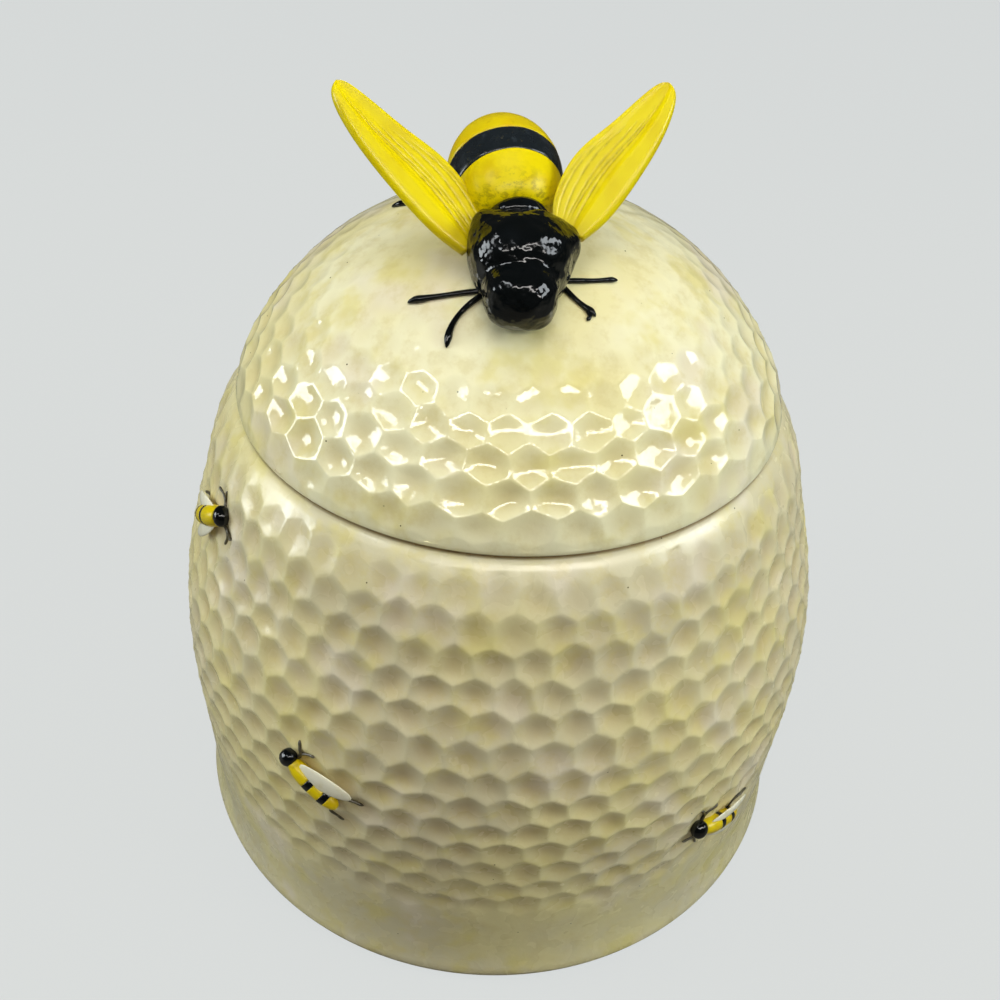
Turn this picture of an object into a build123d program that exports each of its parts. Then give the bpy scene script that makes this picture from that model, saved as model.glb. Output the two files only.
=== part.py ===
from build123d import *
import math
import os

# A glazed stoneware cookie jar shaped like a skep hive, with a lift-off domed lid.
# A large modelled bee stands on the lid as its knob, and small bees sit on the jar's side.
# Millimetres, +Z up, origin at the centre of the foot, -Y is the front.

os.makedirs("parts", exist_ok=True)

# Jar: outline of the outer wall as (radius, height)
FOOT_RADIUS = 97.4
FOOT_EDGE = (100.8, 4.0)
JAR_SIDE = [
    FOOT_EDGE, (99.3, 22.0), (101.4, 66.0), (97.8, 103.2), (90.3, 129.8), (84.4, 147.6), (79.6, 154.0)
]
SEAT_HEIGHT = 155.6
SEAT_EDGE_RADIUS = 77.8
MOUTH_RADIUS = 66.0
RIM_ROUND = 1.5
FOOT_RECESS_RADIUS = 84.0
FOOT_RECESS_DEPTH = 2.0
FLOOR_HEIGHT = 8.5
FLOOR_RADIUS = 84.0
JAR_INSIDE = [(93.6, 20.0), (95.3, 66.0), (91.7, 102.0), (84.4, 127.6), (77.5, 141.2), (MOUTH_RADIUS, 149.6)]

# Lid: outline of the dome as (radius, height)
LID_BOTTOM = 156.0
LID_EDGE_RADIUS = 77.6
LID_SIDE = [(78.5, 157.2), (73.6, 170.4), (63.0, 184.3), (41.5, 200.9), (20.0, 208.9), (0.0, 211.0)]
LID_INSIDE = [(69.3, 163.8), (66.6, 169.6), (57.8, 180.6), (38.6, 195.2), (18.0, 203.0), (0.0, 205.0)]
FLANGE_CLEARANCE = 0.8
FLANGE_RADIUS = MOUTH_RADIUS - FLANGE_CLEARANCE
FLANGE_WALL = 5.0
FLANGE_DEPTH = 9.0

# Knob bee: the neck is where the front and rear halves of the body meet
NECK = Vector(-1.0, -21.0, 216.0)
FRONT_AXIS = Vector(0.067, -0.933, -0.354).normalized()
REAR_AXIS = Vector(-0.202, 0.951, 0.238).normalized()
FRONT_OUTLINE = [(2.6, 8.4), (5.0, 11.4), (9.0, 13.2), (15.0, 12.2), (21.5, 9.0)]
HEAD_OUTLINE = [(21.5, 8.4), (26.0, 9.0), (31.0, 7.6), (34.4, 4.4), (35.5, 0.0)]
REAR_OUTLINE = [
    (-0.4, 7.6), (5.0, 12.2), (11.0, 14.1), (17.0, 14.7), (24.0, 13.4), (30.5, 9.6), (34.4, 5.0), (35.6, 0.0)
]
REAR_BANDS = {
    "knob_bee_speckled_band": (-0.4, 11.0),
    "knob_bee_black_band": (11.0, 19.0),
    "knob_bee_rear_band": (19.0, 31.0),
    "knob_bee_tail": (31.0, 35.6),
}
COLLAR_RADIUS = 7.8
COLLAR_SPAN = (-4.6, -0.4)

# Knob bee's wings: root, tip and the way the chord runs from the leading edge to the trailing edge
WING_THICKNESS = 3.2
LEFT_WING_ROOT = Vector(-9.9, -28.1, 212.6)
LEFT_WING_TIP = Vector(-43.3, -9.0, 245.3)
LEFT_WING_CHORD = Vector(0.71, 0.65, 0.23)
RIGHT_WING_ROOT = Vector(11.3, -26.4, 216.6)
RIGHT_WING_TIP = Vector(31.8, 1.1, 245.6)
RIGHT_WING_CHORD = Vector(-0.80, 0.24, 0.38)
WING_LEADING = [(0.0, -0.30), (0.16, -0.45), (0.45, -0.54), (0.78, -0.52), (0.96, -0.36)]
WING_TRAILING = [(0.90, 0.00), (0.62, 0.24), (0.34, 0.46), (0.16, 0.42), (0.0, 0.22)]
WING_WIDTH = 16.5

# Knob bee's legs, each as plan points (x, y) on the dome and the radius of its foot
KNOB_LEG_RADIUS = 0.95
KNOB_LEGS = {
    "knob_bee_left_front_leg": ([(-5.5, -39.5), (-12.3, -42.2), (-14.6, -47.6)], 1.5),
    "knob_bee_left_middle_leg": ([(-7.0, -35.0), (-16.0, -36.6), (-26.0, -35.6)], 1.5),
    "knob_bee_left_hind_leg": ([(-13.0, -4.0), (-24.0, 4.0), (-35.0, 9.0)], 1.4),
    "knob_bee_right_front_leg": ([(10.5, -34.0), (15.5, -37.2), (20.0, -38.8)], 1.4),
    "knob_bee_right_middle_leg": ([(11.0, -32.0), (18.0, -30.4), (25.6, -28.0)], 1.1),
    "knob_bee_right_hind_leg": ([(6.0, 2.0), (17.0, 10.0), (26.0, 16.0)], 1.4),
}

# Small bees on the jar's side: azimuth from the front towards +X, height, heading above the level,
# and the sides of the body on which the wing and the feelers show
SIDE_BEES = {
    "left_bee": (-63.8, 131.1, 34.0, (1, -1)),
    "front_bee": (-27.6, 79.1, 147.5, (-1,)),
    "right_bee": (44.0, 51.0, 160.0, (1, -1)),
    "back_right_bee": (128.0, 104.0, 62.0, (1, -1)),
    "back_left_bee": (-138.0, 60.0, 27.0, (1, -1)),
}
SMALL_RISE = 0.9
SMALL_BODY = [(8.6, 1.7), (5.6, 2.5), (0.5, 2.6), (-5.0, 2.3), (-9.0, 0.0)]
SMALL_YELLOW_BANDS = [(-9.0, -5.2), (-3.2, 0.2), (2.2, 8.6)]
SMALL_BLACK_BANDS = [(-5.2, -3.2), (0.2, 2.2)]
SMALL_HEAD_RADIUS = 2.4
SMALL_HEAD_REACH = 10.4
SMALL_WING_HEIGHT = 1.0
SMALL_WING_THICKNESS = 1.1
SMALL_WING = [(6.4, 0.9), (3.0, 3.6), (-4.0, 6.3), (-10.4, 6.9), (-8.0, 3.4), (-1.0, 1.2)]
SMALL_LEG_WIDTH = 0.9
SMALL_LEG_THICKNESS = 0.6
SMALL_LEG_CUTTER = 4.0
SMALL_LEG_BEND = 1.0
SMALL_FEELERS = [
    [(8.4, 1.4), (8.6, 3.6), (12.0, 6.8)],
    [(8.4, 1.4), (8.6, 3.6), (5.6, 8.2)],
]
SMALL_HIND_LEG = [(-5.0, 1.2), (-8.4, 4.6), (-13.6, 6.0)]


def jar_side_edge(standoff=0.0):
    """Draws the jar's outer wall from the foot to the lip, or a skin a little outside it."""
    points = [(radius + standoff, height) for radius, height in JAR_SIDE]
    return Spline(*points, tangents=[(-0.25, 1.0), (-1.0, 1.0)])


def lid_side_edge():
    """Draws the lid's outer wall from its edge to the top of the dome."""
    return Spline(*LID_SIDE, tangents=[(0.0, 1.0), (-1.0, 0.0)])


def write(part, name):
    """Labels a finished piece and writes it."""
    part.label = name
    export_step(part, f"parts/{name}.step")


def jar_outer_form(standoff=0.0):
    """Solid bounded by the jar's outer wall, or by a skin a little outside it."""
    with BuildPart() as form:
        with BuildSketch(Plane.XZ):
            with BuildLine():
                side = jar_side_edge(standoff)
                Polyline(side @ 1, (0, JAR_SIDE[-1][1]), (0, FOOT_EDGE[1]), side @ 0)
            make_face()
        revolve(axis=Axis.Z)
    return form.part


# Plain outer forms, used to place and trim what is fixed to the walls
jar_form = jar_outer_form()
leg_skin_form = jar_outer_form(SMALL_LEG_THICKNESS)

with BuildPart() as lid_form:
    with BuildSketch(Plane.XZ):
        with BuildLine():
            Polyline((0, LID_SIDE[-1][1]), (0, LID_BOTTOM), (LID_EDGE_RADIUS, LID_BOTTOM), LID_SIDE[0])
            lid_side_edge()
        make_face()
    revolve(axis=Axis.Z)

# Jar body: wall, floor, ring foot, and the level seat inside the lip that carries the lid
with BuildPart() as jar_body:
    with BuildSketch(Plane.XZ):
        with BuildLine():
            Polyline(
                (0, FLOOR_HEIGHT),
                (0, FOOT_RECESS_DEPTH),
                (FOOT_RECESS_RADIUS, FOOT_RECESS_DEPTH),
                (FOOT_RECESS_RADIUS + FOOT_RECESS_DEPTH, 0),
                (FOOT_RADIUS, 0),
            )
            ThreePointArc((FOOT_RADIUS, 0), (99.9, 1.1), FOOT_EDGE)
            jar_side_edge()
            Polyline(
                JAR_SIDE[-1],
                (SEAT_EDGE_RADIUS, SEAT_HEIGHT),
                (MOUTH_RADIUS + RIM_ROUND, SEAT_HEIGHT),
            )
            RadiusArc(
                (MOUTH_RADIUS + RIM_ROUND, SEAT_HEIGHT),
                (MOUTH_RADIUS, SEAT_HEIGHT - RIM_ROUND),
                -RIM_ROUND,
            )
            Line((MOUTH_RADIUS, SEAT_HEIGHT - RIM_ROUND), JAR_INSIDE[-1])
            Spline((FLOOR_RADIUS, FLOOR_HEIGHT), *JAR_INSIDE, tangents=[(1.0, 0.0), (-1.0, 0.0)])
            Line((FLOOR_RADIUS, FLOOR_HEIGHT), (0, FLOOR_HEIGHT))
        make_face()
    revolve(axis=Axis.Z)
write(jar_body.part, "jar_body")

# Lid: hollow dome with a flange that drops into the mouth
with BuildPart() as lid_shell:
    flange_inside = FLANGE_RADIUS - FLANGE_WALL
    flange_foot = LID_BOTTOM - FLANGE_DEPTH
    with BuildSketch(Plane.XZ):
        with BuildLine():
            lid_side_edge()
            Polyline(
                LID_SIDE[0],
                (LID_EDGE_RADIUS, LID_BOTTOM),
                (FLANGE_RADIUS, LID_BOTTOM),
                (FLANGE_RADIUS, flange_foot + RIM_ROUND),
                (FLANGE_RADIUS - RIM_ROUND, flange_foot),
                (flange_inside + RIM_ROUND, flange_foot),
                (flange_inside, flange_foot + RIM_ROUND),
                (flange_inside, LID_BOTTOM + RIM_ROUND),
                LID_INSIDE[0],
            )
            Spline(*LID_INSIDE, tangents=[(0.0, 1.0), (-1.0, 0.0)])
            Line(LID_INSIDE[-1], LID_SIDE[-1])
        make_face()
    revolve(axis=Axis.Z)
write(lid_shell.part, "lid_shell")


def along(axis, origin):
    """Sketch plane that holds a body axis, with its own x along it."""
    side = axis.cross(Vector(0, 0, 1)).normalized()
    return Plane(origin=origin, x_dir=axis, z_dir=side)


def half_outline(points, start_tangent, end_tangent):
    """Edges of the closed half outline of a rounded body above its own axis."""
    first, last = points[0], points[-1]
    corners = [first, (first[0], 0), (last[0], 0)]
    if last[1] > 0:
        corners.append(last)
    with BuildLine() as outline:
        Spline(*points, tangents=[start_tangent, end_tangent])
        Polyline(*corners)
    return outline.edges()


# Knob bee: chest and head, turned about the front axis and trimmed to the dome
front_plane = along(FRONT_AXIS, NECK)
front_axis = Axis(NECK, FRONT_AXIS)
with BuildPart() as chest:
    with BuildSketch(front_plane):
        make_face(half_outline(FRONT_OUTLINE, (0.6, 1.0), (1.0, -0.5)))
    revolve(axis=front_axis)
    add(lid_form.part, mode=Mode.SUBTRACT)
write(chest.part, "knob_bee_chest")

with BuildPart() as head:
    with BuildSketch(front_plane):
        make_face(half_outline(HEAD_OUTLINE, (1.0, 0.5), (0.0, -1.0)))
    revolve(axis=front_axis)
    add(lid_form.part, mode=Mode.SUBTRACT)
write(head.part, "knob_bee_head")

# Knob bee: the banded rear body, one piece for each band
rear_plane = along(REAR_AXIS, NECK)
rear_axis = Axis(NECK, REAR_AXIS)
BAND_CUTTER_HEIGHT = 20.0
rear_bands = {}
for band_name, (start, end) in REAR_BANDS.items():
    with BuildPart() as band:
        with BuildSketch(rear_plane):
            make_face(half_outline(REAR_OUTLINE, (0.5, 1.0), (0.0, -1.0)))
            with Locations(((start + end) / 2, 0)):
                Rectangle(end - start, 2 * BAND_CUTTER_HEIGHT, mode=Mode.INTERSECT)
        revolve(axis=rear_axis)
        add(lid_form.part, mode=Mode.SUBTRACT)
    rear_bands[band_name] = band.part
    write(band.part, band_name)

with BuildPart() as collar:
    with BuildSketch(Plane(origin=NECK + REAR_AXIS * COLLAR_SPAN[0], z_dir=REAR_AXIS)):
        Circle(COLLAR_RADIUS)
    extrude(amount=COLLAR_SPAN[1] - COLLAR_SPAN[0])
    add(chest.part, mode=Mode.SUBTRACT)
    add(lid_form.part, mode=Mode.SUBTRACT)
write(collar.part, "knob_bee_collar")


def wing_solid(root, tip, chord):
    """Makes one wing slab whose outline runs from its root to its tip."""
    reach = tip - root
    length = reach.length
    span = reach.normalized()
    across = (chord - span * chord.dot(span)).normalized()
    normal = span.cross(across)
    outline = [(u * length, v * WING_WIDTH) for u, v in WING_LEADING + [(1.0, -0.16)] + WING_TRAILING]
    with BuildPart() as wing:
        with BuildSketch(Plane(origin=root, x_dir=span, z_dir=normal)):
            with BuildLine():
                Spline(*outline)
                Line(outline[-1], outline[0])
            make_face()
        extrude(amount=WING_THICKNESS / 2, both=True)
        for neighbour in [chest.part, collar.part, lid_form.part, *rear_bands.values()]:
            add(neighbour, mode=Mode.SUBTRACT)
    return wing.part.solids().sort_by(SortBy.VOLUME)[-1]


write(Part([wing_solid(LEFT_WING_ROOT, LEFT_WING_TIP, LEFT_WING_CHORD)]), "knob_bee_left_wing")
write(Part([wing_solid(RIGHT_WING_ROOT, RIGHT_WING_TIP, RIGHT_WING_CHORD)]), "knob_bee_right_wing")


def rod(points, radius, foot_radius):
    """Round rod along straight runs, with a ball at each point and a larger one at its end."""
    with BuildPart() as runs:
        for start, end in zip(points, points[1:]):
            run = end - start
            with BuildSketch(Plane(origin=start, z_dir=run)):
                Circle(radius)
            extrude(amount=run.length)
            with Locations(start):
                Sphere(radius)
        with Locations(points[-1]):
            Sphere(foot_radius)
    return runs.part


def on_dome(x, y):
    """Point of the dome's surface above a plan point."""
    hits = lid_form.part.find_intersection_points(Axis((x, y, 400), (0, 0, -1)))
    return max((hit[0] for hit in hits), key=lambda point: point.Z)


# Knob bee: six legs laid on the dome
LEG_SINK = 0.4
for leg_name, (plan, foot_radius) in KNOB_LEGS.items():
    stations = [on_dome(x, y) + Vector(0, 0, KNOB_LEG_RADIUS * LEG_SINK) for x, y in plan]
    leg_rod = rod(stations, KNOB_LEG_RADIUS, foot_radius)
    with BuildPart() as leg:
        add(leg_rod)
        for neighbour in [lid_form.part, chest.part, head.part, *rear_bands.values()]:
            add(neighbour, mode=Mode.SUBTRACT)
    write(Part([leg.part.solids().sort_by(SortBy.VOLUME)[-1]]), leg_name)


def on_wall(azimuth, height):
    """Point of the jar's wall at an azimuth and a height, and the way out of the wall there."""
    angle = math.radians(azimuth)
    outward = Vector(math.sin(angle), -math.cos(angle), 0)
    start = outward * 300 + Vector(0, 0, height)
    hits = jar_form.find_intersection_points(Axis(start, outward * -1))
    point = min((hit[0] for hit in hits), key=lambda hit: (hit - start).length)
    inward_hits = [hit[1] for hit in hits if (hit[0] - point).length < 0.01]
    normal = inward_hits[0]
    if normal.dot(outward) < 0:
        normal = normal * -1
    return point, normal.normalized()


# Small bees: head, yellow bands, black bands, wings and legs of each
for bee_name, (azimuth, height, heading, shown_sides) in SIDE_BEES.items():
    point, normal = on_wall(azimuth, height)
    level = Vector(math.cos(math.radians(azimuth)), math.sin(math.radians(azimuth)), 0)
    up = normal.cross(level)
    turn = math.radians(heading)
    forward = (level * math.cos(turn) + up * math.sin(turn)).normalized()
    centre = point + normal * SMALL_RISE
    body_axis = Axis(centre, forward)
    upright = Plane(origin=centre, x_dir=forward, z_dir=forward.cross(normal))
    flat = Plane(origin=point, x_dir=forward, z_dir=normal)
    sideways = normal.cross(forward)

    bodies = {}
    for node, bands in (("yellow_bands", SMALL_YELLOW_BANDS), ("black_bands", SMALL_BLACK_BANDS)):
        with BuildPart() as small_body:
            with BuildSketch(upright):
                for start, end in bands:
                    with Locations(((start + end) / 2, SMALL_HEAD_RADIUS)):
                        Rectangle(end - start, 2 * SMALL_HEAD_RADIUS)
                with BuildLine():
                    Spline(*SMALL_BODY, tangents=[(-1.0, 0.6), (0.0, -1.0)])
                    Polyline(SMALL_BODY[0], (SMALL_BODY[0][0], 0), (SMALL_BODY[-1][0], 0))
                make_face(mode=Mode.INTERSECT)
            revolve(axis=body_axis)
            add(jar_form, mode=Mode.SUBTRACT)
        bodies[node] = small_body.part
        write(small_body.part, f"{bee_name}_{node}")

    with BuildPart() as small_head:
        with BuildSketch(upright):
            with Locations((SMALL_HEAD_REACH, 0)):
                Circle(SMALL_HEAD_RADIUS)
            with Locations((SMALL_HEAD_REACH, SMALL_HEAD_RADIUS)):
                Rectangle(2 * SMALL_HEAD_RADIUS, 2 * SMALL_HEAD_RADIUS, mode=Mode.INTERSECT)
        revolve(axis=body_axis)
        add(jar_form, mode=Mode.SUBTRACT)
        add(bodies["yellow_bands"], mode=Mode.SUBTRACT)
    write(small_head.part, f"{bee_name}_head")

    with BuildPart() as small_wings:
        with BuildSketch(flat.offset(SMALL_WING_HEIGHT)):
            for side in shown_sides:
                with BuildLine():
                    Spline(*[(x, side * y) for x, y in SMALL_WING], periodic=True)
                make_face()
        extrude(amount=SMALL_WING_THICKNESS)
        for neighbour in [jar_form, *bodies.values()]:
            add(neighbour, mode=Mode.SUBTRACT)
    wing_solids = small_wings.part.solids().sort_by(SortBy.VOLUME)[-len(shown_sides):]
    write(Part(wing_solids), f"{bee_name}_wings")

    with BuildPart() as small_legs:
        with BuildSketch(flat.offset(-SMALL_LEG_CUTTER)):
            plans = [(SMALL_HIND_LEG, 1), (SMALL_HIND_LEG, -1)]
            plans += [(feeler, side) for feeler in SMALL_FEELERS for side in shown_sides]
            for plan, side in plans:
                with BuildLine():
                    FilletPolyline(*[(x, side * y) for x, y in plan], radius=SMALL_LEG_BEND)
                trace(line_width=SMALL_LEG_WIDTH)
        extrude(amount=2 * SMALL_LEG_CUTTER)
        add(leg_skin_form, mode=Mode.INTERSECT)
        for neighbour in [jar_form, small_head.part, small_wings.part, *bodies.values()]:
            add(neighbour, mode=Mode.SUBTRACT)
    write(small_legs.part, f"{bee_name}_legs")
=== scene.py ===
"""Cookie jar in the form of a beehive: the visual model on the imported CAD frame."""

import math
import bmesh
import bpy
import numpy as np
from mathutils import Matrix, Vector


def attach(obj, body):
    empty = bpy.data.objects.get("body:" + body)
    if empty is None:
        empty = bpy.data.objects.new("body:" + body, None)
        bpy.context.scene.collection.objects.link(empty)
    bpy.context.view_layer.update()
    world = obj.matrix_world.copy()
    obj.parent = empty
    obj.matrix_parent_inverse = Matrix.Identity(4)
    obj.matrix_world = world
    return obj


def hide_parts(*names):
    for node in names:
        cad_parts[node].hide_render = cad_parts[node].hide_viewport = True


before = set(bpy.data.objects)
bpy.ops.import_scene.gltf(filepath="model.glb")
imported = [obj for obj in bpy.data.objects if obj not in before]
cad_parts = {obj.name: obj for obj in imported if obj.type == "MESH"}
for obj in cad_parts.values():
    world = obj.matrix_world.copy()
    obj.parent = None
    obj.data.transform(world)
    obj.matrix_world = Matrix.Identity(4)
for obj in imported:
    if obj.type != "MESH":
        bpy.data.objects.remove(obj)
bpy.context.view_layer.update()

MM = 0.001

# Camera, at the photograph's viewing angle
CAMERA_PLACE = (0.0, -0.28356, 0.34075)
CAMERA_FORWARD = (-0.003, 0.776, -0.631)
CAMERA_RIGHT = (0.998, 0.039, 0.044)
CAMERA_UP = (-0.058, 0.630, 0.775)
CAMERA_LENS = 41.35
SENSOR_WIDTH = 36.0

# Profiles of the jar and the lid in mm, radius and height, as in the CAD source with its edges rounded
JAR_SIDE = [
    (100.8, 4.0), (99.3, 22.0), (101.4, 66.0), (97.8, 103.2),
    (90.3, 129.8), (84.4, 147.6), (79.6, 154.0),
]
JAR_FOOT = [
    (100.8, 4.0), (100.55, 2.6), (99.9, 1.1), (98.8, 0.25), (97.4, 0.0),
    (86.0, 0.0), (84.0, 2.0), (40.0, 2.0), (0, 2.0),
]
JAR_LIP = [
    (79.25, 154.35), (78.8, 154.76), (78.2, 155.15), (77.5, 155.44), (76.7, 155.6),
    (72.0, 155.6), (67.5, 155.6), (66.7, 155.35), (66.15, 154.7), (66.0, 154.1),
]
JAR_INSIDE = [(66, 149.6), (77.5, 141.2), (84.4, 127.6), (91.7, 102), (95.3, 66), (93.6, 20), (84, 8.5)]
JAR_FLOOR = [(50.0, 8.5), (0, 8.5)]
LID_SIDE = [(78.5, 157.2), (73.6, 170.4), (63.0, 184.3), (41.5, 200.9), (20.0, 208.9), (0.0, 211.0)]
LID_TOP = [(0, 211.0)]
LID_FLANGE = [
    (78.45, 157.0), (78.15, 156.4), (77.6, 156.0), (65.2, 156.0), (65.2, 148.5), (64.7, 147.4),
    (63.7, 147.0), (61.7, 147.0), (60.7, 147.4), (60.2, 148.5), (60.2, 157.5), (64.6, 160.8),
]
LID_INSIDE = [(69.3, 163.8), (66.6, 169.6), (57.8, 180.6), (38.6, 195.2), (18.0, 203.0), (0.0, 205.0)]

# Bare clay: the ring on which the lid sits, under the foot, and under the lid's edge, in mm
JAR_SEAT_HEIGHT = 155.0
JAR_SEAT = (66.5, 77.9)
JAR_UNDER_FOOT = 0.1
LID_EDGE_HEIGHTS = (155.5, 156.5)
LID_EDGE_RADIUS = 65

# Honeycomb rows, lowest first: height in mm on the wall, and how deep the cells are
JAR_CELLS = 56
JAR_TURN = 0.059 + math.pi / JAR_CELLS
JAR_ROWS = [39.8, 48.5, 57.5, 67.0, 75.5, 84.5, 93.2, 103.2, 112.6, 121.0, 129.8, 139.0, 147.6]
JAR_DEPTHS = [0.75, 1.0, 1.2, 1.3, 1.4, 1.45, 1.45, 1.45, 1.4, 1.4, 1.35, 1.2, 0.8]
LID_CELLS = 41
LID_TURN = math.radians(5.0)
LID_ROWS = [163.2, 170.2, 176.8, 182.6, 188.0, 192.8, 197.0, 200.6]
LID_DEPTHS = [0.9, 1.35, 1.2, 0.85, 0.6, 0.4, 0.25, 0.12]

# How much shallower or deeper single cells are, drawn from a seed, and the height and the size in mm
# of the ripple that lies over them
DEPTH_CHANGE = (-0.18, 0.14)
JAR_SEED = 4
LID_SEED = 7
JAR_RIPPLE = 0.12
LID_RIPPLE = 0.1
RIPPLE_SIZE = 9.0

# Edges at a greater angle than this, in degrees, stay sharp
HIVE_SHARP = 50
BEE_SHARP = 40

# One honeycomb cell, its width as 1: points along each of its six sides, the rings from rim to middle,
# the round hollow's radius, the dip of the ridge between two corners as a share of the cell's depth,
# how far corners stray, and how the hollow deepens
RIM_STEPS = 4
CELL_SPOKES = 6 * RIM_STEPS
CELL_RINGS = (1.0, 0.95, 0.87, 0.75, 0.58, 0.38, 0.18)
CELL_ROUND = 0.53
RIDGE_DIP = 0.2
STRAY = 0.05
BOWL_POWER = 1.3
SINE_60 = 0.866

# Neighbouring cells share the rim points at one step of a grid, with this many steps to a cell's width
# and to a row
STEPS_ACROSS = 8
STEPS_UP = 12

# The lid's crown, in mm: its outer and inner radius, its lowest height, how far from the plain surface
# a point may lie, and how deep and how wide its unevenness is
CROWN_RADIUS = 41
CROWN_MIDDLE = 2
CROWN_HEIGHT = 185
CROWN_SKIN = 0.6
CROWN_UNEVEN = 0.22
CROWN_RIPPLE = 3.6

# Knob bee, in mm. Its places and outlines are the CAD source's, but the bands' ends, the collar and the
# front and middle legs follow the photo more closely
NECK = Vector((-1.0, -21.0, 216.0))
REAR_AXIS = Vector((-0.202, 0.951, 0.238)).normalized()
REAR_OUTLINE = [
    (-0.4, 7.6), (5, 12.2), (11, 14.1), (17, 14.7),
    (24, 13.4), (30.5, 9.6), (34.4, 5), (35.6, 0),
]
REAR_BANDS = {
    "speckled_band": (-0.4, 10.2, "speckled"),
    "black_band": (10.2, 17.8, "black"),
    "rear_band": (17.8, 31.0, "yellow"),
    "tail": (31.0, 35.6, "black"),
}
COLLAR = ((-4.6, 6.9), (-4.2, 7.6), (-3.2, 8.2), (-2.2, 8.4), (-1.2, 8.2), (-0.6, 7.6), (-0.3, 6.7))
WING_WIDTH = 16.5
WING_LEADING = [(0.0, -0.30), (0.16, -0.45), (0.45, -0.54), (0.78, -0.52), (0.95, -0.39), (1.0, -0.18)]
WING_TRAILING = [
    (0.0, 0.22), (0.16, 0.42), (0.34, 0.46), (0.62, 0.25),
    (0.90, 0.01), (0.975, -0.09), (1.0, -0.18),
]
WINGS = {
    "left_wing": ((-9.9, -28.1, 212.6), (-43.3, -9.0, 245.3), (0.71, 0.65, 0.23), -1),
    "right_wing": ((11.3, -26.4, 216.6), (31.8, 1.1, 245.6), (-0.80, 0.24, 0.38), 1),
}
KNOB_LEGS = {
    "left_front_leg": ([(-6.5, -35.4), (-12.2, -39.9), (-14.7, -43.6), (-15.6, -48.2)], 1.5),
    "left_middle_leg": ([(-7, -35.2), (-16.6, -35.6), (-26.2, -35.5)], 1.5),
    "left_hind_leg": ([(-13, -4), (-24, 4), (-35, 9)], 1.4),
    "right_front_leg": ([(10.5, -31.4), (15.3, -35.4), (19.9, -38.0)], 1.4),
    "right_middle_leg": ([(11, -30.8), (18, -28.8), (25.4, -25.6)], 1.1),
    "right_hind_leg": ([(6, 2), (17, 10), (26, 16)], 1.4),
}
LEG_RADIUS = 0.95

# What the knob bee gets here in addition, in mm: how far a band's edge is rounded along and across, how
# uneven a band is, the least radius of a turned form, its points round, and the legs, which are drawn
# thinner than in the solids, with a small fork at the end of one
BAND_SOFT = 0.5
BAND_DROP = 0.28
BAND_UNEVEN = 0.12
THINNEST = 0.02
TURNS = 96
LEG_SHARE = 0.68
FOOT_SHARE = 0.66
LEG_POINTS = 60
FORK_LEG = "right_front_leg"
FORK_BENDS = ([-0.2, -1.2], [-0.9, -2.3])
FORK_RADIUS = 0.6
FORK_POINTS = 14
UPWARD = np.array([[0.0, 0.0, 1.0]])

# Small bees on the wall: azimuth, height in mm, heading, and the sides on which wing and feelers show
SMALL_BEES = {
    "left_bee": (-63.8, 131.1, 34.0, (1, -1)),
    "front_bee": (-27.6, 79.1, 147.5, (-1,)),
    "right_bee": (44.0, 51.0, 160.0, (1, -1)),
    "back_right_bee": (128.0, 104.0, 62.0, (1, -1)),
    "back_left_bee": (-138.0, 60.0, 27.0, (1, -1)),
}

# A small bee in its own frame, in mm: x ahead, y to its left and z off the wall. Its head and wings are
# rounder than in the CAD source
SMALL_BODY = [(8.6, 1.7), (5.6, 2.5), (0.5, 2.6), (-5.0, 2.3), (-9.0, 0.0)]
SMALL_YELLOW = [(-9.0, -5.2), (-3.2, 0.2), (2.2, 8.6)]
SMALL_BLACK = [(-5.2, -3.2), (0.2, 2.2)]
SMALL_FEELERS = [
    [(8.4, 1.4), (8.6, 3.6), (12.0, 6.8)],
    [(8.4, 1.4), (8.6, 3.6), (5.6, 8.2)],
]
SMALL_HIND_LEG = [(-5.0, 1.2), (-8.4, 4.6), (-13.6, 6.0)]
SMALL_HEAD = [(8.0, 0.3), (8.3, 1.5), (9.2, 2.2), (10.4, 2.45), (11.6, 2.1), (12.5, 1.3), (12.9, 0.05)]
SMALL_HEAD_BREADTH = 1.22
SMALL_LIFT = 0.9
SMALL_WING = [[6.6, 1.0], [0.0, 3.1], [-10.6, 5.6]]
SMALL_WING_HALF = 2.1
SINGLE_WING = [[6.4, 1.6], [0.2, 4.7], [-9.2, 8.4]]
SINGLE_WING_HALF = 3.1
SMALL_LEG_RADIUS = 0.46
SMALL_FOOT_RADIUS = 0.5
SMALL_LEG_POINTS = 24
LEFT_BEE_GIRTH = 1.2


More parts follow.
